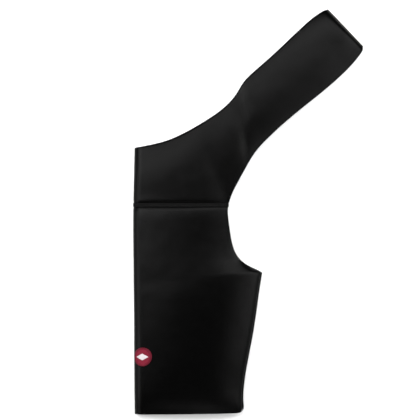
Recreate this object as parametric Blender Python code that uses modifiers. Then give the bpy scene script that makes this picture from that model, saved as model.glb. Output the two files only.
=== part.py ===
"""Pull-on shoulder support of nylon-faced foam rubber, lying flat on its back layer.

The sleeve is one panel, folded along the outer arm and closed by the arm seam. The shoulder panel is
folded on the same line and runs on as a front and a back strap, which the strap seam joins at their far
end. The yoke seam joins the two panels. X runs from the fold towards the chest, Y from the hem towards
the neck and Z up from the floor. A section is worked out in its own plane first, as (distance in from
the fold, height), and each panel is then swept through its sections.
"""

import math

import bmesh
import bpy
from mathutils import Vector
from mathutils.geometry import interpolate_bezier

# Driving dimensions, in metres and degrees: the fabric and how it lies
FABRIC = 0.0035
FOLD_HOLLOW = 0.0075
FOLD_DEPTH = 0.009
SLEEVE_CROWN = 0.011
STRAP_CROWN = 0.003
CREASE_DEPTH = 0.002
CREASE_REACH = 0.011

# The sleeve
HEM_WIDTH = 0.1475
HEM_TILT = 0.002
HEM_CORNER = 0.005
ARMPIT_WIDTH = 0.1738
ARM_SEAM_RISE = 0.1915
ARMPIT_SPREAD = 0.032
SEAM_WIDTH = 0.1282
SLEEVE_RISE = 0.2825

# The yoke and the strap
YOKE_RISE = 0.0772
STRAP_START = 0.1008
STRAP_LENGTH = 0.2458
STRAP_WIDTH = 0.081
STRAP_ANGLE = 41.4

# The flat seams, which lie in a recess pressed into both faces of the fabric. The ramp is its sloping side
SEAM_GAP = 0.0003
BAND_WIDTH = 0.0054
BAND_THICKNESS = 0.0006
BAND_SUNK = 0.0001
RECESS_RAMP = 0.0019

# The badge, by its centre's height above the hem and its way round the fabric from the fold
BADGE_DIAMETER = 0.025
BADGE_THICKNESS = 0.0005
BADGE_RISE = 0.0775
BADGE_SET_BACK = 0.015

# Clearance between pieces that touch on the real object
CLEARANCE = 0.0003

# Outlines. Each row is a point that the edge passes through, as shares of the sizes named above it
FOLD_LINE = (  # share of the fold's height, bow inwards as a share of FOLD_DEPTH
    (0.00, 0.17),
    (0.12, 0.10),
    (0.35, 0.06),
    (0.55, -0.02),
    (0.72, -0.08),
    (0.79, -0.05),
    (0.88, 0.14),
    (1.00, 0.13),
)
ARM_SEAM = (  # share of ARM_SEAM_RISE, hollow inwards as a share of FOLD_DEPTH
    (0.00, -0.06),
    (0.05, -0.06),
    (0.10, 0.28),
    (0.28, 0.44),
    (0.42, 0.29),
    (0.62, 0.09),
    (0.88, 0.07),
    (0.955, 0.03),
    (1.00, 0.00),
)
ARMHOLE = (  # share of the step from the yoke seam's end out to the armpit, share of the rise between them
    (1.00, 0.000),
    (0.66, 0.070),
    (0.33, 0.185),
    (0.18, 0.303),
    (0.085, 0.460),
    (0.040, 0.610),
    (-0.02, 0.820),
    (-0.03, 0.920),
    (0.00, 1.000),
)
NECK_EDGE = (  # shares of the way across and up from the fold to the strap's pinch
    (0.00, 0.000),
    (0.134, 0.044),
    (0.307, 0.123),
    (0.480, 0.267),
    (0.653, 0.448),
    (0.825, 0.657),
    (0.940, 0.852),
    (1.00, 1.000),
)
CHEST_EDGE = (  # shares of the way across and up from the yoke seam's end to the strap's notch
    (0.00, 0.00),
    (0.05, 0.12),
    (0.22, 0.30),
    (0.60, 0.65),
    (0.92, 0.91),
    (1.00, 1.00),
)
STRAP_UPPER = (  # share of STRAP_LENGTH forwards, share of half of STRAP_WIDTH to the side
    (0.326, 0.730),
    (0.357, 0.814),
    (0.388, 0.873),
    (0.437, 0.890),
    (0.600, 0.885),
    (0.800, 0.927),
    (0.900, 0.940),
    (0.935, 0.916),
    (0.974, 0.878),
    (0.995, 0.823),
)
STRAP_LOWER = (  # as STRAP_UPPER
    (0.128, -1.229),
    (0.154, -1.193),
    (0.205, -1.108),
    (0.268, -1.084),
    (0.398, -1.059),
    (0.537, -1.084),
    (0.680, -1.127),
    (0.815, -1.135),
    (0.915, -1.099),
    (0.970, -1.031),
    (0.994, -0.982),
    (1.006, -0.890),
)

# How full the upper layer is, as shares of SLEEVE_CROWN and STRAP_CROWN
SLEEVE_FULLNESS = (  # share of the sleeve's height, share of the crown
    (0.00, 0.80),
    (0.25, 1.00),
    (0.60, 0.95),
    (0.85, 0.60),
    (1.00, 0.48),
)
STRAP_FULLNESS = (  # share of the way from the fold to the strap's end, share of the crown
    (0.00, 0.60),
    (0.30, 0.80),
    (0.70, 0.90),
    (1.00, 1.40),
)
CROWN_POWER = 2.4
CROWN_FADE = 0.5  # share of the panel's depth over which the strap's crown dies out at the yoke seam

# Where the sections stand, and how many columns and steps each stretch has
ARM_STATIONS = (0.0, 0.05, 0.10, 0.19, 0.28, 0.37, 0.46, 0.55, 0.64, 0.73, 0.82, 0.90, 0.955, 1.0)
ARMHOLE_STATIONS = (0.05, 0.12, 0.21, 0.32, 0.44, 0.56, 0.68, 0.80, 0.90)
STRAP_ROWS = (0.86, 0.75, 0.625, 0.50, 0.375, 0.25, 0.125, 0.0)
FOLD_AT_ARMPIT = 0.63
NECK_AT_SEAM_END = 0.58
NOSE_STEPS = 5
SLEEVE_COLUMNS = 9
YOKE_COLUMNS = 8
ROOT_COLUMNS = 5
STRAP_COLUMNS = 10
BADGE_SIDES = 28
BADGE_RINGS = 5
CURVE_STEPS = 6
TURN_STEPS = 32
LAST_TURN_COLUMN = 0.45  # share of the way from a seam's recess to the end of its turn
MERGE_DISTANCE = 1e-6

# Worked out from the driving dimensions
SPREAD = (FOLD_HOLLOW + FABRIC) / 2
RECESS_DEPTH = BAND_THICKNESS + CLEARANCE + BAND_SUNK
RECESS_EDGE = BAND_WIDTH / 2 + RECESS_RAMP
BAND_OFFSET = FABRIC / 2 - BAND_SUNK - BAND_THICKNESS / 2
BADGE_OFFSET = FABRIC / 2 + CLEARANCE + BADGE_THICKNESS / 2
SEAM_FLAT = BAND_WIDTH / 4
SEAM_COLUMNS = (SEAM_GAP / 2, SEAM_FLAT, BAND_WIDTH / 2)  # distances from the butt, on the recess's floor
SEAM_ROWS = (SEAM_GAP / 2, BAND_WIDTH / 2)  # as SEAM_COLUMNS, beside the yoke seam
LOWER, UPPER = -1, 1


def smooth_line(knots):
    """A smooth line through the knots, as closely spaced points."""
    knots = [Vector(knot) for knot in knots]
    before, after = knots[:1] + knots[:-1], knots[1:] + knots[-1:]
    slopes = [(end - start).normalized() for start, end in zip(before, after)]
    line = knots[:1]
    for start, end, leave, arrive in zip(knots, knots[1:], slopes, slopes[1:]):
        reach = (end - start).length / 3
        handles = start + leave * reach, end - arrive * reach
        line += interpolate_bezier(start, *handles, end, CURVE_STEPS + 1)[1:]
    return line


def length_of(line):
    return sum((end - start).length for start, end in zip(line, line[1:]))


def point_along(line, distance):
    """The point of a line that lies this far along it."""
    for start, end in zip(line, line[1:]):
        step = (end - start).length
        if distance < step:
            return start.lerp(end, distance / step)
        distance -= step
    return line[-1].copy()


def value_at(line, share):
    """The second value of a table's smooth line where its first is this share."""
    for start, end in zip(line, line[1:]):
        if share < end.x:
            return start.lerp(end, (share - start.x) / (end.x - start.x)).y
    return line[-1].y


def between(start, end, share):
    return start + (end - start) * share


def eased(share):
    share = min(max(share, 0), 1)
    return share * share * (3 - 2 * share)


def nose(flat, distances):
    """(way round, distance in, rise above the apex) of the fabric's middle as it turns in from an edge."""
    turn = [Vector((0, 0))]
    for step in range(TURN_STEPS + 1):
        angle = math.pi / 2 * step / TURN_STEPS
        turn.append(Vector((FOLD_DEPTH * (1 - math.cos(angle)), flat + (SPREAD - flat) * math.sin(angle))))
    rows = [(distance, *point_along(turn, distance)) for distance in distances]
    return rows + [(length_of(turn), FOLD_DEPTH, SPREAD)]


def fold_nose():
    """The turn at the fold, in even steps."""
    whole = nose(0, [])[-1][0]
    return nose(0, [whole * step / NOSE_STEPS for step in range(NOSE_STEPS)])


def seam_nose():
    """The turn at a sewn edge: its first points span the butted edges and the seam's recess."""
    whole = nose(SEAM_FLAT, [])[-1][0]
    return nose(SEAM_FLAT, [*SEAM_COLUMNS, RECESS_EDGE, between(RECESS_EDGE, whole, LAST_TURN_COLUMN)])


def layer_height(layer, rise, crown=0):
    """Height of the fabric's middle: the lower layer lies on the floor and the upper one arches over it."""
    apex = FABRIC / 2 + SPREAD
    if layer == LOWER:
        return apex - rise
    return apex + rise + crown * rise / SPREAD


def arch(share):
    """How high a crown stands across its width: nothing at both edges and 1 in the middle."""
    return 1 - abs(2 * share - 1) ** CROWN_POWER


class Outline:
    """The edges of the fabric's middle, seen from above, as smooth lines."""

    def __init__(self):
        half = FABRIC / 2
        self.bow = smooth_line(FOLD_LINE)
        self.fullness = smooth_line(SLEEVE_FULLNESS)
        self.strap_fullness = smooth_line(STRAP_FULLNESS)
        arm_seam = []
        for up, hollow in ARM_SEAM:
            across = between(HEM_WIDTH, ARMPIT_WIDTH, up) - hollow * FOLD_DEPTH
            arm_seam.append((across - half, up * ARM_SEAM_RISE))
        self.arm_seam = smooth_line(arm_seam)
        armpit, corner = self.arm_seam[-1], Vector((SEAM_WIDTH, SLEEVE_RISE))
        armhole = []
        for across, up in ARMHOLE:
            armhole.append((between(corner.x, armpit.x, across), between(armpit.y, corner.y, up)))
        self.armhole = smooth_line(armhole)
        yoke_foot = Vector((self.fold_x(SLEEVE_RISE), SLEEVE_RISE))
        neck_corner = Vector((self.fold_x(SLEEVE_RISE + YOKE_RISE), SLEEVE_RISE + YOKE_RISE))
        upper = [self.strap_point(*row) for row in STRAP_UPPER]
        lower = [self.strap_point(*row) for row in STRAP_LOWER]
        neck = [self.between_points(neck_corner, upper[0], *row) for row in NECK_EDGE]
        chest = [self.between_points(corner, lower[0], *row) for row in CHEST_EDGE]
        neck_line, chest_line = smooth_line(neck), [yoke_foot] + smooth_line(chest)
        self.pinch = length_of(neck_line)
        self.seam_end = (corner - yoke_foot).length
        self.notch = length_of(chest_line)
        self.upper_edge = neck_line + smooth_line(upper)[1:]
        self.lower_edge = chest_line + smooth_line(lower)[1:]

    def fold_x(self, height):
        share = height / (SLEEVE_RISE + YOKE_RISE)
        return FABRIC / 2 + value_at(self.bow, share) * FOLD_DEPTH

    def strap_point(self, forwards, side):
        """A point of the strap, by shares of its length and half width from its start."""
        angle = math.radians(STRAP_ANGLE)
        ahead = Vector((math.cos(angle), math.sin(angle))) * (STRAP_LENGTH - FABRIC / 2)
        aside = Vector((-math.sin(angle), math.cos(angle))) * STRAP_WIDTH / 2
        return Vector((STRAP_START, SLEEVE_RISE + YOKE_RISE)) + ahead * forwards + aside * side

    @staticmethod
    def between_points(start, end, across, up):
        return Vector((between(start.x, end.x, across), between(start.y, end.y, up)))


OUTLINE = Outline()


class SleeveSection:
    """One section of the sleeve, from the fold to the arm seam, or to the armhole's free edge above it."""

    def __init__(self, height, end, opened):
        self.start = Vector((OUTLINE.fold_x(height), height))
        self.end = end
        width = (end - self.start).length
        crown = SLEEVE_CROWN * value_at(OUTLINE.fullness, height / SLEEVE_RISE)
        far = [
            (between(depth, way - SEAM_GAP / 2, opened), between(rise, SPREAD, opened))
            for way, depth, rise in seam_nose()
        ]
        near = [(depth, rise) for _, depth, rise in fold_nose()]
        middle = []
        for step in range(1, SLEEVE_COLUMNS):
            share = step / SLEEVE_COLUMNS
            middle.append((between(FOLD_DEPTH, width - far[-1][0], share), SPREAD))
        columns = near + middle + [(width - depth, rise) for depth, rise in reversed(far)]
        lower = [Vector((reach, layer_height(LOWER, rise))) for reach, rise in columns]
        upper = [
            Vector((reach, layer_height(UPPER, rise, crown * arch(reach / width))))
            for reach, rise in columns
        ]
        self.apex = len(lower) - 1
        self.path = lower[::-1] + upper[1:]

    def place(self, point, lift=0):
        """A point of the section's plane, as a place in the model."""
        ahead = (self.end - self.start).normalized()
        plan = self.start + ahead * point.x
        return Vector((plan.x, plan.y + lift, point.y))


def arm_section(share):
    """The sleeve's section at a share of the arm seam."""
    end = point_along(OUTLINE.arm_seam, share * length_of(OUTLINE.arm_seam))
    return SleeveSection(share * FOLD_AT_ARMPIT * SLEEVE_RISE, end, 0)


def armhole_section(distance, height):
    """The sleeve's section that ends on the armhole, this far from the armpit."""
    return SleeveSection(height, point_along(OUTLINE.armhole, distance), eased(distance / ARMPIT_SPREAD))


def hem_lift(section, point):
    """How far the hem rises along Y from its lowest point, at the fold, to its rounded corner."""
    width = (section.end - section.start).length
    from_edge = max(width - point.x, 0)
    into_corner = max(HEM_CORNER - from_edge, 0)
    return HEM_TILT * point.x / width + HEM_CORNER - math.sqrt(HEM_CORNER**2 - into_corner**2)


def sleeve_sections():
    sections = [arm_section(share) for share in ARM_STATIONS]
    whole = length_of(OUTLINE.armhole)
    for share in ARMHOLE_STATIONS:
        height = SLEEVE_RISE * between(FOLD_AT_ARMPIT, 1, share)
        sections.append(armhole_section(share * whole, height))
    for distance in (RECESS_EDGE, *reversed(SEAM_ROWS)):
        sections.append(armhole_section(whole - distance, SLEEVE_RISE - distance))
    return sections


def grid_mesh(name, rows):
    """A surface through rows of points, with each vertex's (row, column)."""
    last_row, last_column = len(rows) - 1, len(rows[0]) - 1
    shape = bmesh.new()
    bmesh.ops.create_grid(shape, x_segments=last_column, y_segments=last_row, size=0.5)
    cells = []
    for vertex in shape.verts:
        cell = round((vertex.co.y + 0.5) * last_row), round((vertex.co.x + 0.5) * last_column)
        vertex.co = rows[cell[0]][cell[1]]
        cells.append(cell)
    mesh = bpy.data.meshes.new(name)
    shape.to_mesh(mesh)
    shape.free()
    return mesh, cells


def add_piece(name, mesh, material, thickness, proud=0):
    """A wall of even thickness whose middle stands this proud of the surface."""
    mesh.shade_smooth()
    mesh.materials.append(material)
    piece = bpy.data.objects.new(name, mesh)
    SUPPORT.objects.link(piece)
    piece.parent = ORIGIN
    wall = piece.modifiers.new("wall", "SOLIDIFY")
    wall.thickness = thickness
    wall.offset = 2 * proud / thickness
    wall.use_even_offset = True
    wall.use_quality_normals = True
    return piece


def add_panel(name, rows, recessed, material):
    """A fabric panel, pressed thinner where its seams lie."""
    mesh, cells = grid_mesh(name, rows)
    panel = add_piece(name, mesh, material, FABRIC)
    full = panel.vertex_groups.new(name="full_thickness")
    full.add([index for index, cell in enumerate(cells) if not recessed(*cell)], 1, "REPLACE")
    panel.modifiers["wall"].vertex_group = full.name
    panel.modifiers["wall"].thickness_vertex_group = (FABRIC - 2 * RECESS_DEPTH) / FABRIC


def add_band(name, rows, material):
    """A band of stitching that lies in the recess over a seam, along rows of the fabric's middle."""
    add_piece(name, grid_mesh(name, rows)[0], material, BAND_THICKNESS, BAND_OFFSET)


def by_path_end(column, columns):
    """Whether a column lies on the recess's floor, beside the butt where a path's two ends meet."""
    return min(column, columns - 1 - column) < len(SEAM_COLUMNS)


def over_butt(path):
    """The points on the recess's floor on both sides of the butt, without the butted edges themselves."""
    reach = len(SEAM_COLUMNS)
    return path[-reach:-1] + path[1:reach]


def add_sleeve(material, thread):
    sections = sleeve_sections()
    rows = [[section.place(point) for point in section.path] for section in sections]
    rows[0] = [sections[0].place(point, hem_lift(sections[0], point)) for point in sections[0].path]
    first_by_yoke = len(rows) - len(SEAM_ROWS)

    def recessed(row, column):
        by_arm_seam = row < len(ARM_STATIONS) and by_path_end(column, len(rows[0]))
        return by_arm_seam or row >= first_by_yoke

    add_panel("sleeve", rows, recessed, material)
    add_band("arm_seam", [over_butt(row) for row in rows[: len(ARM_STATIONS)]], thread)

    seam = armhole_section(length_of(OUTLINE.armhole), SLEEVE_RISE)
    sides = (-BAND_WIDTH / 2, 0, BAND_WIDTH / 2)
    add_band("yoke_seam", [[seam.place(point, side) for point in seam.path] for side in sides], thread)


def strap_columns():
    """(way along the upper edge, way along the lower edge, rise), from the fold to the strap's end."""
    ends = length_of(OUTLINE.upper_edge), length_of(OUTLINE.lower_edge)
    marks = (
        ((FOLD_DEPTH, FOLD_DEPTH), 0),
        ((NECK_AT_SEAM_END * OUTLINE.pinch, OUTLINE.seam_end), YOKE_COLUMNS),
        ((OUTLINE.pinch, OUTLINE.notch), ROOT_COLUMNS),
        ((ends[0] - FOLD_DEPTH, ends[1] - FOLD_DEPTH), STRAP_COLUMNS),
    )
    columns = [(depth, depth, rise) for _, depth, rise in fold_nose()]
    for (start, _), (end, count) in zip(marks, marks[1:]):
        for step in range(1, count + 1):
            share = step / count
            columns.append((between(start[0], end[0], share), between(start[1], end[1], share), SPREAD))
    columns.pop()
    for _, depth, rise in reversed(seam_nose()):
        columns.append((ends[0] - depth, ends[1] - depth, rise))
    return columns


def strap_crown(upper, lower, row):
    """How far the upper layer stands over its edges, by the ways along them and the row's share across."""
    ends = length_of(OUTLINE.upper_edge), length_of(OUTLINE.lower_edge)
    along = (upper / ends[0] + lower / ends[1]) / 2
    crown = STRAP_CROWN * value_at(OUTLINE.strap_fullness, along) * arch(row)
    crown *= eased((1 - row) / CROWN_FADE)
    if lower < OUTLINE.seam_end:
        seam_crown = SLEEVE_CROWN * SLEEVE_FULLNESS[-1][1]
        crown += seam_crown * arch(lower / OUTLINE.seam_end) * math.sin(math.pi / 2 * row)
    past = (upper - OUTLINE.pinch + lower - OUTLINE.notch) / 2
    return crown - CREASE_DEPTH * math.exp(-((past / CREASE_REACH) ** 2))


def strap_rows():
    """Shares across the panel, from 1 at the yoke seam and the strap's lower edge to 0 at the neck edge."""
    return [1 - distance / YOKE_RISE for distance in (*SEAM_ROWS, RECESS_EDGE)] + list(STRAP_ROWS)


def strap_path(row):
    """One row of the shoulder panel, from the back strap's end round the fold to the front strap's end."""
    lower, upper = [], []
    for above, below, rise in strap_columns():
        edges = point_along(OUTLINE.upper_edge, above), point_along(OUTLINE.lower_edge, below)
        plan = edges[0].lerp(edges[1], row)
        crown = strap_crown(above, below, row)
        lower.append(Vector((*plan, layer_height(LOWER, rise))))
        upper.append(Vector((*plan, layer_height(UPPER, rise, crown))))
    return lower[::-1] + upper[1:]


def add_yoke_strap(material, thread):
    rows = [strap_path(row) for row in strap_rows()]
    fold = len(rows[0]) // 2
    seam_end = NOSE_STEPS + YOKE_COLUMNS

    def recessed(row, column):
        by_yoke_seam = row < len(SEAM_ROWS) and abs(column - fold) <= seam_end
        return by_yoke_seam or by_path_end(column, len(rows[0]))

    add_panel("yoke_strap", rows, recessed, material)
    add_band("strap_seam", [over_butt(row) for row in rows], thread)


def badge_point(across, up):
    """A point of the fabric under the badge, by its place from the badge's centre."""
    section = arm_section((BADGE_RISE + up) / (FOLD_AT_ARMPIT * SLEEVE_RISE))
    front = section.path[section.apex :]
    return section.place(point_along(front, BADGE_SET_BACK + across))


def add_badge(material):
    """The badge, as rings from its rim to its centre, so that its surface faces out of the sleeve."""
    rows = []
    for ring in reversed(range(BADGE_RINGS + 1)):
        radius = BADGE_DIAMETER / 2 * ring / BADGE_RINGS
        angles = [2 * math.pi * side / BADGE_SIDES for side in range(BADGE_SIDES + 1)]
        rows.append([badge_point(radius * math.cos(turn), radius * math.sin(turn)) for turn in angles])
    mesh, _ = grid_mesh("badge", rows)
    shape = bmesh.new()
    shape.from_mesh(mesh)
    bmesh.ops.remove_doubles(shape, verts=shape.verts, dist=MERGE_DISTANCE)
    shape.to_mesh(mesh)
    shape.free()
    add_piece("badge", mesh, material, BADGE_THICKNESS, BADGE_OFFSET)


def new_material(name, colour, roughness):
    material = bpy.data.materials.new(name)
    material.use_nodes = True
    surface = material.node_tree.nodes["Principled BSDF"]
    surface.inputs["Base Color"].default_value = (*colour, 1)
    surface.inputs["Roughness"].default_value = roughness
    surface.inputs["Metallic"].default_value = 0
    return material


def centre_on_floor():
    """Moves the whole support so that the middle of its outline lies over the origin."""
    bpy.context.view_layer.update()
    graph = bpy.context.evaluated_depsgraph_get()
    corners = []
    for piece in SUPPORT.objects:
        corners += [Vector(corner) for corner in piece.evaluated_get(graph).bound_box]
    for axis in (0, 1):
        places = [corner[axis] for corner in corners]
        ORIGIN.location[axis] = -(min(places) + max(places)) / 2
    bpy.context.view_layer.update()


for old in list(bpy.data.objects):
    bpy.data.objects.remove(old)
SUPPORT = bpy.data.collections.new("shoulder_support")
bpy.context.scene.collection.children.link(SUPPORT)
ORIGIN = bpy.data.objects.new("support_origin", None)
bpy.context.scene.collection.objects.link(ORIGIN)

neoprene = new_material("black_neoprene", (0.012, 0.012, 0.013), 0.72)
thread = new_material("black_thread", (0.015, 0.015, 0.016), 0.6)
woven = new_material("crimson_weave", (0.33, 0.026, 0.055), 0.55)
add_sleeve(neoprene, thread)
add_yoke_strap(neoprene, thread)
add_badge(woven)
centre_on_floor()
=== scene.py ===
"""Looks of a black pull-on shoulder support lying flat: its fabric panels, flat seams and round badge."""

import math

import bpy
import numpy as np
from bpy_extras.mesh_utils import mesh_linked_uv_islands
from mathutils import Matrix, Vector, noise
from mathutils.bvhtree import BVHTree
from mathutils.geometry import barycentric_transform
from mathutils.kdtree import KDTree


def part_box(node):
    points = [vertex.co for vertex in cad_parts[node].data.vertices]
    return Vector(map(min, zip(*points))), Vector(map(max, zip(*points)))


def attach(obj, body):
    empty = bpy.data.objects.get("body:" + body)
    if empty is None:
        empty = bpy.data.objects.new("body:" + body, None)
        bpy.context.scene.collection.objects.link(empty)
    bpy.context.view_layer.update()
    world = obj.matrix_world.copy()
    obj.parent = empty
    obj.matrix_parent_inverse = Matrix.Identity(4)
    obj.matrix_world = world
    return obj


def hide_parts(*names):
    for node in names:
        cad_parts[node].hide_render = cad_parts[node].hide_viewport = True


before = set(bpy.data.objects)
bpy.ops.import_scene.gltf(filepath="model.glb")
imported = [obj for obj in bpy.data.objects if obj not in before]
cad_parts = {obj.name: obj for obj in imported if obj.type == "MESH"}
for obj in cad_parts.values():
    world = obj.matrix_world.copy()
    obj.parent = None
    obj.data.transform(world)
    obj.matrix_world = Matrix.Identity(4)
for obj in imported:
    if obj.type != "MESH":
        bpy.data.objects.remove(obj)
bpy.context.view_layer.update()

# The fabric's thickness, the height at which its layers meet, and how far in a fold's round nose reaches
FABRIC = 0.0035
SEAM_LEVEL = 0.00725
NOSE_DEPTH = 0.009

# The knit: a wale's width, a course's length, how steeply its legs slant and how deep its loops are
WALE = 0.0011
COURSE = 0.0009
KNIT_SLANT = 1.3
LOOP_DEPTH = 0.6

# How a copy of a CAD piece is merged, laid out flat and made finer, and how crisp its edges stay
MERGE_DISTANCE = 0.00001
QUAD_FLATNESS = math.radians(50)
QUAD_SHAPE = math.radians(60)
SHARP_EDGE = math.radians(55)
FLAT_MARGIN = 0.002
FINER_LEVELS = 2
SOFT_EDGE = 0.5
FIRM_EDGE = 1

# How a face of the fabric is told from a cut edge: less than this lies straight through, from just inside
THICKEST_WALL = 1.2 * FABRIC
JUST_INSIDE = FABRIC / 50

# The flat seams' stitching: how high its threads lie is in shares of their thickness
THREAD = 0.00042
STITCH_PITCH = 0.0026
NEEDLE_ROWS = (-0.0021, 0.0, 0.0021)
NEEDLE_POINTS = 8
NEEDLE_SINK = 0.75
NEEDLE_FULLNESS = 0.6
LOOPER_REACH = 0.0023
LOOPER_POINTS = 12
LOOPER_SWING = 1.7
LOOPERS = ((0.0, 0.28), (0.5, 0.38))  # where in the stitch each one starts, and how high it lies
STRAP_END_FACES = math.radians(41.4)
ON_YOKE_LINE = 0.0001
ON_EDGE_LINE = 0.0003

# The badge: its overlocked rim, its satin lozenge and its yarns
BADGE_RADIUS = 0.0125
RIM_WIDTH = 0.0019
RIM_STITCHES = 118
RIM_THREAD = 0.00062
RIM_REACHES = (0.0, 0.25, 0.5, 0.75, 1.0, 1.1)
RIM_LEAN = 0.9
RIM_SINK = 0.15
RIM_CROWN = 0.55
LOZENGE = (0.0165, 0.0085)
SATIN_THREAD = 0.0004
SATIN_CLOSENESS = 0.92
SATIN_CROWN = 0.7
SATIN_REACHES = (-1, -0.6, -0.2, 0.2, 0.6, 1)
YARN = 0.0005

# The camera: how wide a stretch it shows, what lies in its middle, how far off it is, its sensor in mm
VIEW_WIDTH = 0.567
VIEW_CENTRE = (-0.0512, 0.0024)
CAMERA_DISTANCE = 3.0
SENSOR = 36

# The upper layer's slow and fine swells, the sleeve's puff below the yoke seam, and its droop at the hem
SWELL = 0.0004
SWELLS_PER_METRE = 22
FINE_SWELL = SWELL / 3
FINE_SWELLS_PER_METRE = 60
FINE_SWELL_START = 0.3
YOKE_SEAM_Y = (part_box("yoke_seam")[0].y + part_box("yoke_seam")[1].y) / 2
SEAM_REACH = 0.016
SEAM_PUFF = 0.001
HEM_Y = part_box("sleeve")[0].y
HEM_REACH = 0.014
HEM_DROOP = 0.002

# How the upper layer relaxes as cloth that is a little slack and hardly weighs anything
CLOTH = {
    "quality": 6,
    "mass": 0.05,
    "tension_stiffness": 12,
    "compression_stiffness": 12,
    "shear_stiffness": 6,
    "bending_stiffness": 3,
    "shrink_min": -0.0015,
}
GRAVITY_SHARE = 0.001
RELAX_FRAMES = 18

# The relaxed sheet: the least that its faces look up, how finely they are cut, and where they are held
FACES_UP = 0.2
SHEET_CUTS = 2
HELD_BELOW = 0.0125
HELD_BY_SEAM = 0.005

# What is passed on of its rises: the most at a point, the rounds of evening, and the nearest points used
MOST_RELAXED = 0.0015
EVENING_PASSES = 150
NEIGHBOURS = 4
SAME_PLACE = 0.00042

# Dents and creases of the upper layer: middle, direction in degrees, half length, half width and depth
CREASES = (
    # x, y, direction, half length, half width, depth
    (-0.0050, 0.1270, 150, 0.034, 0.0110, 0.0005),
    (0.0140, 0.1810, 118, 0.020, 0.0070, 0.0003),
    (-0.0040, 0.1500, 128, 0.030, 0.0080, 0.0003),
    (0.0000, 0.0950, 60, 0.026, 0.0100, 0.0003),
    (-0.0900, 0.0500, 20, 0.040, 0.0160, 0.0004),
    (0.0020, -0.0600, 130, 0.022, 0.0090, 0.0004),
    (-0.0200, -0.2350, 80, 0.026, 0.0090, 0.0003),
)

# The floor, and the light from all round that the fabric and the camera see
FLOOR_RADIUS = 0.75
FLOOR_SIDES = 96
ROUND_LIGHT = 0.06
BACKDROP = 1.0

# The studio's lights: place, target, size in metres and power in watts
SOFTBOXES = (
    ("left_softbox", (-0.8, 0.45, 1.0), (-0.1, 0.45, 0.0), (1.0, 0.3), 14),
    ("low_left_softbox", (-1.2, -0.2, 0.6), (-0.1, -0.2, 0.0), (0.7, 0.3), 6),
    ("right_softbox", (0.8, 0.1, 0.9), (0.0, 0.2, 0.0), (1.0, 0.3), 9),
    ("low_right_softbox", (1.2, -0.2, 0.6), (0.0, -0.2, 0.0), (0.7, 0.3), 3),
    ("top_softbox", (-0.2, 0.3, 0.9), (-0.1, 0.15, 0.0), (0.8, 0.3), 5),
    ("strap_softbox", (0.3, 0.3, 0.65), (0.15, 0.2, 0.0), (0.6, 0.3), 3),
    ("hem_softbox", (0.0, -0.95, 1.05), (0.0, -0.2, 0.0), (0.9, 0.3), 5),
)


def select_only(piece):
    """Leaves one piece selected and active."""
    bpy.ops.object.select_all(action="DESELECT")
    piece.select_set(True)
    bpy.context.view_layer.objects.active = piece


def apply_modifiers(piece):
    select_only(piece)
    for modifier in list(piece.modifiers):
        bpy.ops.object.modifier_apply(modifier=modifier.name)


def vectors_of(items, name, width=3):
    """One value of every point, corner or face of a mesh, as rows of numbers."""
    values = np.zeros(len(items) * width)
    items.foreach_get(name, values)
    return values.reshape(-1, width)


def set_points(piece, points):
    piece.data.vertices.foreach_set("co", points.astype(np.float32).ravel())
    piece.data.update()


# Copies of the CAD pieces


def merged_copy(node, name):
    """A copy of a CAD node with its loose triangles joined up into quads."""
    piece = bpy.data.objects.new(name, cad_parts[node].data.copy())
    bpy.context.scene.collection.objects.link(piece)
    piece.data.materials.clear()
    select_only(piece)
    bpy.ops.object.mode_set(mode="EDIT")
    bpy.ops.mesh.select_all(action="SELECT")
    bpy.ops.mesh.remove_doubles(threshold=MERGE_DISTANCE)
    bpy.ops.mesh.customdata_custom_splitnormals_clear()
    bpy.ops.mesh.tris_convert_to_quads(face_threshold=QUAD_FLATNESS, shape_threshold=QUAD_SHAPE)
    bpy.ops.object.mode_set(mode="OBJECT")
    return piece


def smooth_copy(node, name, crease):
    """A merged copy made finer, with its flat cut as a UV map and its cut edges in a second slot."""
    piece = merged_copy(node, name)
    bpy.ops.object.mode_set(mode="EDIT")
    bpy.ops.mesh.select_mode(type="EDGE")
    bpy.ops.mesh.select_all(action="DESELECT")
    bpy.ops.mesh.edges_select_sharp(sharpness=SHARP_EDGE)
    bpy.ops.transform.edge_crease(value=crease)
    bpy.ops.mesh.mark_seam(clear=False)
    bpy.ops.mesh.select_all(action="SELECT")
    bpy.ops.uv.unwrap(method="ANGLE_BASED", margin=FLAT_MARGIN)
    bpy.ops.object.mode_set(mode="OBJECT")
    lay_out_flat_cut(piece)
    mark_cut_edges(piece)
    finer = piece.modifiers.new("finer", "SUBSURF")
    finer.levels = finer.render_levels = FINER_LEVELS
    apply_modifiers(piece)
    bpy.ops.object.shade_smooth()
    return piece


def lay_out_flat_cut(piece):
    """Scales the UV map to metres and turns each island so that the piece's Y runs up it."""
    mesh = piece.data
    layer = mesh.uv_layers.active
    layer.name = "flat_cut"
    places = vectors_of(layer.uv, "vector", 2)
    points = vectors_of(mesh.vertices, "co")
    for island in mesh_linked_uv_islands(mesh):
        corners = []
        solid_area = flat_area = 0.0
        climb = np.zeros(2)
        for index in island:
            face = mesh.polygons[index]
            loops = list(face.loop_indices)
            corners += loops
            flat = places[loops]
            ahead = np.roll(flat, -1, 0)
            flat_area += abs((flat[:, 0] * ahead[:, 1] - flat[:, 1] * ahead[:, 0]).sum()) / 2
            solid_area += face.area
            solid = points[list(face.vertices)]
            climb += ((np.roll(solid, -1, 0) - solid)[:, 1:2] * (ahead - flat)).sum(0)
        scale = math.sqrt(solid_area / flat_area)
        steepness = np.linalg.norm(climb)
        up = climb / steepness if steepness > 0 else np.array((0.0, 1.0))
        turned = places[corners] - places[corners].mean(0)
        places[corners] = scale * np.stack([turned @ (up[1], -up[0]), turned @ up], 1)
    layer.uv.foreach_set("vector", places.astype(np.float32).ravel())


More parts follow.
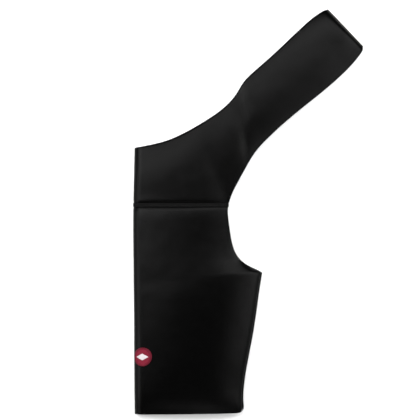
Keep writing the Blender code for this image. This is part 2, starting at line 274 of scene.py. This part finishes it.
def mark_cut_edges(piece):
    """Puts the faces of a cut edge in the second slot: straight through them lies more than a wall."""
    mesh = piece.data
    tree = BVHTree.FromPolygons([v.co for v in mesh.vertices], [p.vertices for p in mesh.polygons])
    for face in mesh.polygons:
        through = tree.ray_cast(face.center - face.normal * JUST_INSIDE, -face.normal)[3]
        face.material_index = 0 if through is not None and through < THICKEST_WALL else 1


# Fabric panels


def crease_depth(x, y):
    """How deep the creases are at a place, all together."""
    depth = 0.0
    for middle_x, middle_y, direction, length, width, deep in CREASES:
        angle = math.radians(direction)
        along = (x - middle_x) * math.cos(angle) + (y - middle_y) * math.sin(angle)
        aside = (y - middle_y) * math.cos(angle) - (x - middle_x) * math.sin(angle)
        depth += deep * math.exp(-((along / length) ** 2) - (aside / width) ** 2)
    return depth


def rise_at(x, y):
    """How far the upper layer stands up as given: swells, creases, the seam's puff and the hem's droop."""
    rise = SWELL * noise.noise(SWELLS_PER_METRE * Vector((x, y, 0)))
    rise += FINE_SWELL * noise.noise(FINE_SWELLS_PER_METRE * Vector((x, y, FINE_SWELL_START)))
    below_seam = max(YOKE_SEAM_Y - y, 0) / SEAM_REACH
    rise += SEAM_PUFF * below_seam * math.exp(1 - below_seam)
    rise -= HEM_DROOP * math.exp(-(((y - HEM_Y) / HEM_REACH) ** 2))
    return rise - crease_depth(x, y)


def upper_sheet(node):
    """The outer face of a panel's upper layer, as a thin sheet held along its folded and sewn edges."""
    sheet = merged_copy(node, node + "_sheet")
    bpy.ops.object.mode_set(mode="EDIT")
    bpy.ops.mesh.select_mode(type="FACE")
    bpy.ops.mesh.select_all(action="DESELECT")
    bpy.ops.object.mode_set(mode="OBJECT")
    for face in sheet.data.polygons:
        face.select = face.normal.z < FACES_UP or face.center.z < SEAM_LEVEL
    bpy.ops.object.mode_set(mode="EDIT")
    bpy.ops.mesh.delete(type="FACE")
    bpy.ops.mesh.select_all(action="SELECT")
    bpy.ops.mesh.subdivide(number_cuts=SHEET_CUTS)
    bpy.ops.object.mode_set(mode="OBJECT")
    held = sheet.vertex_groups.new(name="held")
    for vertex in sheet.data.vertices:
        if vertex.co.z < HELD_BELOW or abs(vertex.co.y - YOKE_SEAM_Y) < HELD_BY_SEAM:
            held.add([vertex.index], 1, "REPLACE")
    return sheet


def relaxed_rises(node):
    """Lets a panel's upper layer settle as cloth: where its points were, and how far each one rose."""
    sheet = upper_sheet(node)
    before = vectors_of(sheet.data.vertices, "co")
    cloth = sheet.modifiers.new("relax", "CLOTH")
    for setting, value in CLOTH.items():
        setattr(cloth.settings, setting, value)
    cloth.settings.vertex_group_mass = "held"
    cloth.settings.effector_weights.gravity = GRAVITY_SHARE
    cloth.point_cache.frame_start = 1
    cloth.point_cache.frame_end = RELAX_FRAMES
    for frame_number in range(1, RELAX_FRAMES + 1):
        bpy.context.scene.frame_set(frame_number)
    apply_modifiers(sheet)
    rises = (vectors_of(sheet.data.vertices, "co") - before)[:, 2]
    heights = before[:, 2] + np.clip(rises, -MOST_RELAXED, MOST_RELAXED)
    rises = evened_out(sheet.data, heights, along_arm=True) - before[:, 2]
    rises = evened_out(sheet.data, rises, along_arm=False)
    bpy.data.objects.remove(sheet)
    return before, rises


def evened_out(mesh, heights, along_arm):
    """Heights averaged again and again with their neighbours', or with those up and down the arm alone."""
    held = np.array([bool(vertex.groups) for vertex in mesh.vertices])
    kept = heights[held].copy()
    ends = np.zeros(2 * len(mesh.edges), dtype=np.int32)
    mesh.edges.foreach_get("vertices", ends)
    first, second = ends.reshape(-1, 2).T
    points = vectors_of(mesh.vertices, "co")
    run = points[second] - points[first]
    weight = (run[:, 1] / np.linalg.norm(run, axis=1)) ** 2 if along_arm else np.ones(len(run))
    count = np.bincount(first, weight, len(heights)) + np.bincount(second, weight, len(heights))
    for _ in range(EVENING_PASSES):
        total = np.bincount(first, weight * heights[second], len(heights))
        total += np.bincount(second, weight * heights[first], len(heights))
        heights = (heights + total / count) / 2
        heights[held] = kept
    return heights


class UpperLayer:
    """How the whole upper layer lies: what the cloth did to it, with the listed relief on top."""

    def __init__(self, nodes):
        self.rises = []
        found = [relaxed_rises(node) for node in nodes]
        self.tree = KDTree(sum(len(places) for places, _ in found))
        for places, rises in found:
            for (x, y, _), rise in zip(places, rises):
                self.tree.insert((x, y, 0), len(self.rises))
                self.rises.append(rise)
        self.tree.balance()

    def rise(self, x, y):
        """How far the layer stands up at a place, by the cloth and by the listed relief."""
        near = self.tree.find_n((x, y, 0), NEIGHBOURS)
        weights = [1 / (distance + SAME_PLACE) for _, _, distance in near]
        relaxed = sum(self.rises[index] * weight for (_, index, _), weight in zip(near, weights))
        return rise_at(x, y) + relaxed / (sum(weights) or 1)

    def settle(self, piece):
        """Moves a piece's upper layer through its whole thickness, and leaves its lower one on the floor."""
        points = vectors_of(piece.data.vertices, "co")
        for point in points:
            share = min((point[2] - SEAM_LEVEL) / (SEAM_LEVEL - FABRIC), 1)
            if share > 0:
                point[2] += share * self.rise(point[0], point[1])
        set_points(piece, points)


def add_panel(node, name, nylon, foam):
    """A fabric panel, with nylon on its faces and bare foam where it is cut."""
    panel = smooth_copy(node, name, SOFT_EDGE)
    upper_layer.settle(panel)
    panel.data.materials.append(nylon)
    panel.data.materials.append(foam)
    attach(panel, "root")
    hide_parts(node)
    return panel


# Stitching


def add_threads(name, lines, radius, material):
    """Threads along lines of points, as one mesh of six-sided tubes."""
    curve = bpy.data.curves.new(name, "CURVE")
    curve.dimensions = "3D"
    curve.bevel_depth = radius
    curve.bevel_resolution = 1
    curve.use_fill_caps = True
    for line in lines:
        spline = curve.splines.new("POLY")
        spline.points.add(len(line) - 1)
        for knot, point in zip(spline.points, line):
            knot.co = (*point, 1)
    threads = bpy.data.objects.new(name, curve)
    bpy.context.scene.collection.objects.link(threads)
    select_only(threads)
    bpy.ops.object.convert(target="MESH")
    threads.data.materials.clear()
    threads.data.materials.append(material)
    bpy.ops.object.shade_smooth()
    return threads


def join(base, *others):
    """Joins the other pieces into the first."""
    select_only(base)
    for other in others:
        other.select_set(True)
    bpy.ops.object.join()


class SeamBand:
    """The outer side of a seam's band: the line along its middle, and places beside that line."""

    def __init__(self, band, near_middle, outward, order, side):
        mesh = band.data
        points = vectors_of(mesh.vertices, "co")
        normals = vectors_of(mesh.vertices, "normal")
        chosen = near_middle(points) & (outward(points, normals) > 0)
        line = points[chosen]
        self.line = line[np.argsort(order(line))]
        steps = np.linalg.norm(np.diff(self.line, axis=0), axis=1)
        self.ways = np.concatenate([[0], np.cumsum(steps)])
        self.length = self.ways[-1]
        self.side = Vector(side)
        self.turn = 1
        self.tree = BVHTree.FromPolygons([v.co for v in mesh.vertices], [p.vertices for p in mesh.polygons])
        middle = self.length / 2
        found = outward(np.array([self.at(middle)]), np.array([self.out(middle)]))
        self.turn = 1 if found[0] > 0 else -1

    def at(self, way):
        """The point of the middle line that lies this far along it."""
        return Vector([np.interp(way, self.ways, self.line[:, axis]) for axis in range(3)])

    def out(self, way):
        """The way out of the fabric there, square to the line."""
        step = STITCH_PITCH / 4
        ahead = self.at(min(way + step, self.length)) - self.at(max(way - step, 0))
        return self.side.cross(ahead).normalized() * self.turn

    def place(self, way, aside, lift):
        """A point this far along the seam, this far to its side and this far off the band."""
        out = self.out(way)
        start = self.at(way) + self.side * aside
        hit, normal, _, _ = self.tree.ray_cast(start + out * FABRIC, -out, 2 * FABRIC)
        if hit is None:
            hit, normal = start, out
        point = hit + normal * lift
        point.z = max(point.z, THREAD / 2)
        return point


def needle_line(band, aside):
    """A row of straight stitches, which dips into the fabric between them."""
    count = round(band.length / STITCH_PITCH)
    line = []
    for step in range(count * NEEDLE_POINTS + 1):
        share = step / (count * NEEDLE_POINTS)
        rise = abs(math.sin(math.pi * count * share)) ** NEEDLE_FULLNESS
        line.append(band.place(share * band.length, aside, THREAD * (rise - NEEDLE_SINK)))
    return line


def looper_line(band, start, height):
    """A covering thread, which swings from side to side once for each stitch."""
    count = round(band.length / STITCH_PITCH)
    line = []
    for step in range(count * LOOPER_POINTS + 1):
        share = step / (count * LOOPER_POINTS)
        turn = 2 * math.pi * (count * share + start)
        swing = math.tanh(LOOPER_SWING * math.sin(turn)) / math.tanh(LOOPER_SWING)
        line.append(band.place(share * band.length, LOOPER_REACH * swing, THREAD * height))
    return line


def add_seam(node, name, near_middle, outward, order, side, strip, thread):
    """A seam's band with its needle and looper threads laid over it."""
    band = smooth_copy(node, name, FIRM_EDGE)
    band.data.materials.append(strip)
    for face in band.data.polygons:
        face.material_index = 0
    seam = SeamBand(band, near_middle, outward, order, side)
    lines = [needle_line(seam, aside) for aside in NEEDLE_ROWS]
    lines += [looper_line(seam, start, height) for start, height in LOOPERS]
    join(band, add_threads(name + "_threads", lines, THREAD / 2, thread))
    upper_layer.settle(band)
    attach(band, "root")
    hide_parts(node)
    return band


def add_yoke_seam(strip, thread):
    """The stitching of the yoke seam, which runs over the upper layer, round the fold and back below."""
    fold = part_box("yoke_seam")[0].x

    def from_core(points):
        """How far each point lies from the flat middle between the two layers."""
        across = np.maximum(points[:, 0], fold + NOSE_DEPTH)
        return points - np.stack([across, points[:, 1], np.full(len(points), SEAM_LEVEL)], 1)

    return add_seam(
        "yoke_seam",
        "yoke_seam_stitching",
        lambda points: abs(points[:, 1] - YOKE_SEAM_Y) < ON_YOKE_LINE,
        lambda points, normals: (from_core(points) * normals).sum(1),
        lambda points: np.sign(points[:, 2] - SEAM_LEVEL) * (points[:, 0] - fold + THREAD),
        (0, 1, 0),
        strip,
        thread,
    )


def add_edge_seam(node, name, direction, strip, thread):
    """The stitching of a seam that closes an edge, whose outer side faces this way in plan."""
    facing = np.array((math.cos(direction), math.sin(direction), 0))
    along = np.array((-math.sin(direction), math.cos(direction), 0))
    return add_seam(
        node,
        name,
        lambda points: abs(points[:, 2] - SEAM_LEVEL) < ON_EDGE_LINE,
        lambda points, normals: normals @ facing,
        lambda points: points @ along,
        (0, 0, 1),
        strip,
        thread,
    )


# The badge


class BadgeFace:
    """The badge's outer face, addressed by places on its flat cut."""

    def __init__(self, badge):
        mesh = badge.data
        mesh.calc_loop_triangles()
        places = vectors_of(mesh.uv_layers.active.uv, "vector", 2)

        def area_facing_up(island):
            return sum(mesh.polygons[i].normal.z * mesh.polygons[i].area for i in island)

        faces = set(max(mesh_linked_uv_islands(mesh), key=area_facing_up))
        self.solid, self.flat = [], []
        for triangle in mesh.loop_triangles:
            if triangle.polygon_index in faces:
                self.solid.append([mesh.vertices[i].co.copy() for i in triangle.vertices])
                self.flat.append([Vector((*places[i], 0)) for i in triangle.loops])
        corners = [corner for triangle in self.flat for corner in triangle]
        triples = [(3 * i, 3 * i + 1, 3 * i + 2) for i in range(len(self.flat))]
        self.tree = BVHTree.FromPolygons(corners, triples)
        low = [min(corner[axis] for corner in corners) for axis in (0, 1)]
        high = [max(corner[axis] for corner in corners) for axis in (0, 1)]
        self.centre = Vector(((low[0] + high[0]) / 2, (low[1] + high[1]) / 2, 0))

    def place(self, across, up, lift):
        """A point this far across and up from the badge's middle and this far off its face."""
        wanted = self.centre + Vector((across, up, 0))
        near, _, index, _ = self.tree.find_nearest(wanted)
        point = barycentric_transform(near, *self.flat[index], *self.solid[index])
        a, b, c = self.solid[index]
        normal = (b - a).cross(c - a).normalized()
        beyond = (wanted - near).length
        return point + normal * (lift - beyond)


def rim_lines(face):
    """The overlocked rim: short threads laid over the edge side by side."""
    lines = []
    for stitch in range(RIM_STITCHES):
        line = []
        for reach in RIM_REACHES:
            angle = 2 * math.pi * (stitch + RIM_LEAN * reach) / RIM_STITCHES
            radius = BADGE_RADIUS - RIM_WIDTH + RIM_WIDTH * reach
            lift = RIM_THREAD * (RIM_CROWN * math.sin(math.pi * min(reach, 1)) + RIM_SINK)
            line.append(face.place(radius * math.cos(angle), radius * math.sin(angle), lift))
        lines.append(line)
    return lines


def satin_lines(face):
    """The pale lozenge in the badge's middle, as upright satin stitches."""
    half_width, half_height = LOZENGE[0] / 2, LOZENGE[1] / 2
    count = round(LOZENGE[0] / (SATIN_THREAD * SATIN_CLOSENESS))
    lines = []
    for stitch in range(count):
        across = -half_width + LOZENGE[0] * (stitch + 0.5) / count
        height = half_height * (1 - abs(across) / half_width) + SATIN_THREAD / 2
        line = []
        for reach in SATIN_REACHES:
            lift = SATIN_THREAD * SATIN_CROWN * (1 - reach**2)
            line.append(face.place(across, reach * height, lift))
        lines.append(line)
    return lines


def add_badge(weave, rim, satin):
    """The woven badge with its overlocked rim and its plain lozenge."""
    badge = smooth_copy("badge", "round_badge", FIRM_EDGE)
    badge.data.materials.append(weave)
    for polygon in badge.data.polygons:
        polygon.material_index = 0
    face = BadgeFace(badge)
    edge = add_threads("badge_rim", rim_lines(face), RIM_THREAD / 2, rim)
    lozenge = add_threads("badge_lozenge", satin_lines(face), SATIN_THREAD / 2, satin)
    join(badge, edge, lozenge)
    upper_layer.settle(badge)
    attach(badge, "root")
    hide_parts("badge")
    return badge


# Materials


def grey(shade):
    return (shade, shade, shade)


class Finish:
    """A material and the nodes that are added to it."""

    def __init__(self, name, colour, roughness, specular, sheen=0.0, sheen_roughness=0.3):
        self.material = bpy.data.materials.new(name)
        self.material.use_nodes = True
        self.nodes = self.material.node_tree.nodes
        self.links = self.material.node_tree.links
        self.shader = self.nodes["Principled BSDF"]
        inputs = self.shader.inputs
        inputs["Base Color"].default_value = (*colour, 1)
        inputs["Roughness"].default_value = roughness
        inputs["Specular IOR Level"].default_value = specular
        inputs["Sheen Weight"].default_value = sheen
        inputs["Sheen Roughness"].default_value = sheen_roughness

    def node(self, kind, **values):
        """A new node, with these values set."""
        added = self.nodes.new(kind)
        for name, value in values.items():
            setattr(added, name, value)
        return added

    def connect(self, source, target):
        self.links.new(source, target)

    def math(self, operation, first, second=None):
        """The result of one sum on numbers or other results."""
        added = self.node("ShaderNodeMath", operation=operation)
        for socket, value in zip(added.inputs, (first, second)):
            if isinstance(value, (int, float)):
                socket.default_value = value
            elif value is not None:
                self.connect(value, socket)
        return added.outputs[0]

    def coordinates(self, output):
        return self.node("ShaderNodeTexCoord").outputs[output]

    def noise(self, scale, detail):
        """Even noise through the piece, so many spots to the metre."""
        added = self.node("ShaderNodeTexNoise")
        added.inputs["Scale"].default_value = scale
        added.inputs["Detail"].default_value = detail
        self.connect(self.coordinates("Object"), added.inputs["Vector"])
        return added.outputs["Fac"]

    def spread(self, value, low, high):
        """A value from 0 to 1, spread from low to high."""
        added = self.node("ShaderNodeMapRange")
        added.inputs["To Min"].default_value = low
        added.inputs["To Max"].default_value = high
        self.connect(value, added.inputs["Value"])
        return added.outputs["Result"]

    def blend_colours(self, share, first, second):
        """Makes the colour run from the first to the second as the share grows."""
        added = self.node("ShaderNodeMix", data_type="RGBA")
        added.inputs["A"].default_value = (*first, 1)
        added.inputs["B"].default_value = (*second, 1)
        self.connect(share, added.inputs["Factor"])
        self.connect(added.outputs["Result"], self.shader.inputs["Base Color"])

    def bump(self, height, distance):
        """Adds a relief, on top of any relief there already."""
        added = self.node("ShaderNodeBump")
        added.inputs["Distance"].default_value = distance
        normal = self.shader.inputs["Normal"]
        if normal.is_linked:
            self.connect(normal.links[0].from_socket, added.inputs["Normal"])
        self.connect(height, added.inputs["Height"])
        self.connect(added.outputs["Normal"], normal)


def knit_height(finish):
    """The relief of a plain knit: two slanted legs to each wale, one stitch to each course."""
    split = finish.node("ShaderNodeSeparateXYZ")
    finish.connect(finish.coordinates("UV"), split.inputs[0])
    wales = finish.math("DIVIDE", split.outputs["X"], WALE)
    courses = finish.math("DIVIDE", split.outputs["Y"], COURSE)
    across = finish.math("ABSOLUTE", finish.math("SUBTRACT", finish.math("FRACT", wales), 0.5))
    leg = finish.math("SINE", finish.math("MULTIPLY", across, 2 * math.pi))
    slant = finish.math("ADD", courses, finish.math("MULTIPLY", across, KNIT_SLANT))
    loop = finish.math("ABSOLUTE", finish.math("SINE", finish.math("MULTIPLY", slant, math.pi)))
    depth = finish.math("ADD", finish.math("MULTIPLY", loop, LOOP_DEPTH), 1 - LOOP_DEPTH)
    return finish.math("MULTIPLY", leg, depth)


def nylon_jersey():
    """Black nylon knit: nearly no colour of its own, and a soft gleam on its slopes."""
    finish = Finish("black_nylon_jersey", grey(0.0002), roughness=0.31, specular=0.06, sheen=0.001)
    finish.blend_colours(finish.noise(scale=90, detail=3), grey(0.0001), grey(0.0003))
    roughness = finish.spread(finish.noise(scale=140, detail=3), 0.28, 0.34)
    finish.connect(roughness, finish.shader.inputs["Roughness"])
    finish.bump(finish.noise(scale=420, detail=4), distance=0.00002)
    finish.bump(knit_height(finish), distance=0.000025)
    return finish.material


def foam_core():
    """The foam rubber's open cells, where the fabric is cut."""
    finish = Finish("black_foam_core", grey(0.004), roughness=0.8, specular=0.1)
    finish.blend_colours(finish.noise(scale=900, detail=4), grey(0.002), grey(0.006))
    finish.bump(finish.noise(scale=1400, detail=4), distance=0.0002)
    return finish.material


def seam_strip():
    """The crushed fabric below a flat seam's threads."""
    finish = Finish("black_seam_strip", grey(0.0005), roughness=0.6, specular=0.04)
    finish.bump(finish.noise(scale=1600, detail=2), distance=0.0001)
    return finish.material


def twisted_thread(name, first, second, roughness, specular):
    """Thread whose ply shows as a fine change of shade and relief."""
    finish = Finish(name, first, roughness, specular, sheen=0.02)
    finish.blend_colours(finish.noise(scale=1500, detail=2), first, second)
    finish.bump(finish.noise(scale=2600, detail=2), distance=0.00006)
    return finish.material


def crimson_weave():
    """A plain weave of crimson yarns."""
    finish = Finish("crimson_weave", (0.14, 0.008, 0.02), 0.55, 0.1, sheen=0.01, sheen_roughness=0.4)
    split = finish.node("ShaderNodeSeparateXYZ")
    finish.connect(finish.coordinates("UV"), split.inputs[0])
    warp = finish.math("SINE", finish.math("MULTIPLY", split.outputs["X"], 2 * math.pi / YARN))
    weft = finish.math("SINE", finish.math("MULTIPLY", split.outputs["Y"], 2 * math.pi / YARN))
    weave = finish.spread(finish.math("MULTIPLY", warp, weft), 0.0, 1.0)
    finish.blend_colours(finish.noise(scale=700, detail=2), (0.11, 0.005, 0.014), (0.17, 0.010, 0.026))
    finish.bump(weave, distance=0.00006)
    return finish.material


# The stage


def add_floor():
    """A plain pale disc, just wide enough for the camera's view."""
    bpy.ops.mesh.primitive_circle_add(
        vertices=FLOOR_SIDES, radius=FLOOR_RADIUS, fill_type="NGON", location=(*VIEW_CENTRE, 0)
    )
    floor = bpy.context.active_object
    floor.name = "studio_floor"
    floor.data.materials.append(Finish("pale_floor", grey(0.92), roughness=0.8, specular=0.1).material)


def add_softbox(name, place, target, size, power):
    """A soft area light that faces its target and doesn't show itself."""
    light = bpy.data.lights.new(name, "AREA")
    light.shape = "RECTANGLE"
    light.size, light.size_y = size
    light.energy = power
    lamp = bpy.data.objects.new(name, light)
    bpy.context.scene.collection.objects.link(lamp)
    lamp.location = place
    lamp.rotation_euler = (Vector(target) - Vector(place)).to_track_quat("-Z", "Y").to_euler()
    lamp.visible_camera = False


def add_world():
    """A pale backdrop beyond the floor, and a faint light from all round."""
    world = bpy.data.worlds.new("studio")
    bpy.context.scene.world = world
    world.use_nodes = True
    nodes, links = world.node_tree.nodes, world.node_tree.links
    background = nodes["Background"]
    path = nodes.new("ShaderNodeLightPath")
    share = nodes.new("ShaderNodeMapRange")
    share.inputs["To Min"].default_value = ROUND_LIGHT
    share.inputs["To Max"].default_value = BACKDROP
    background.inputs["Color"].default_value = (1, 1, 1, 1)
    links.new(path.outputs["Is Camera Ray"], share.inputs["Value"])
    links.new(share.outputs["Result"], background.inputs["Strength"])


def add_camera():
    """A camera straight above, as far off as the photograph's perspective asks."""
    camera = bpy.data.cameras.new("photo_camera")
    camera.sensor_width = SENSOR
    camera.lens = SENSOR * CAMERA_DISTANCE / VIEW_WIDTH
    camera.clip_end = 3 * CAMERA_DISTANCE
    rig = bpy.data.objects.new("photo_camera", camera)
    bpy.context.scene.collection.objects.link(rig)
    rig.location = (*VIEW_CENTRE, CAMERA_DISTANCE + SEAM_LEVEL)
    bpy.context.scene.camera = rig


upper_layer = UpperLayer(("sleeve", "yoke_strap"))
nylon = nylon_jersey()
foam = foam_core()
strip = seam_strip()
black_thread = twisted_thread("black_stitching_thread", grey(0.0004), grey(0.001), 0.42, 0.09)
crimson_thread = twisted_thread("crimson_rim_thread", (0.08, 0.004, 0.011), (0.13, 0.008, 0.020), 0.45, 0.1)
pale_thread = twisted_thread("pale_satin_thread", (0.50, 0.46, 0.47), (0.62, 0.58, 0.59), 0.4, 0.3)

sleeve = add_panel("sleeve", "sleeve_panel", nylon, foam)
shoulder = add_panel("yoke_strap", "shoulder_panel", nylon, foam)
yoke_seam = add_yoke_seam(strip, black_thread)
arm_seam = add_edge_seam("arm_seam", "arm_seam_stitching", 0, strip, black_thread)
strap_seam = add_edge_seam("strap_seam", "strap_seam_stitching", STRAP_END_FACES, strip, black_thread)
badge = add_badge(crimson_weave(), crimson_thread, pale_thread)

add_floor()
for name, place, target, size, power in SOFTBOXES:
    add_softbox(name, place, target, size, power)
add_world()
add_camera()
bpy.context.scene.view_settings.view_transform = "Standard"
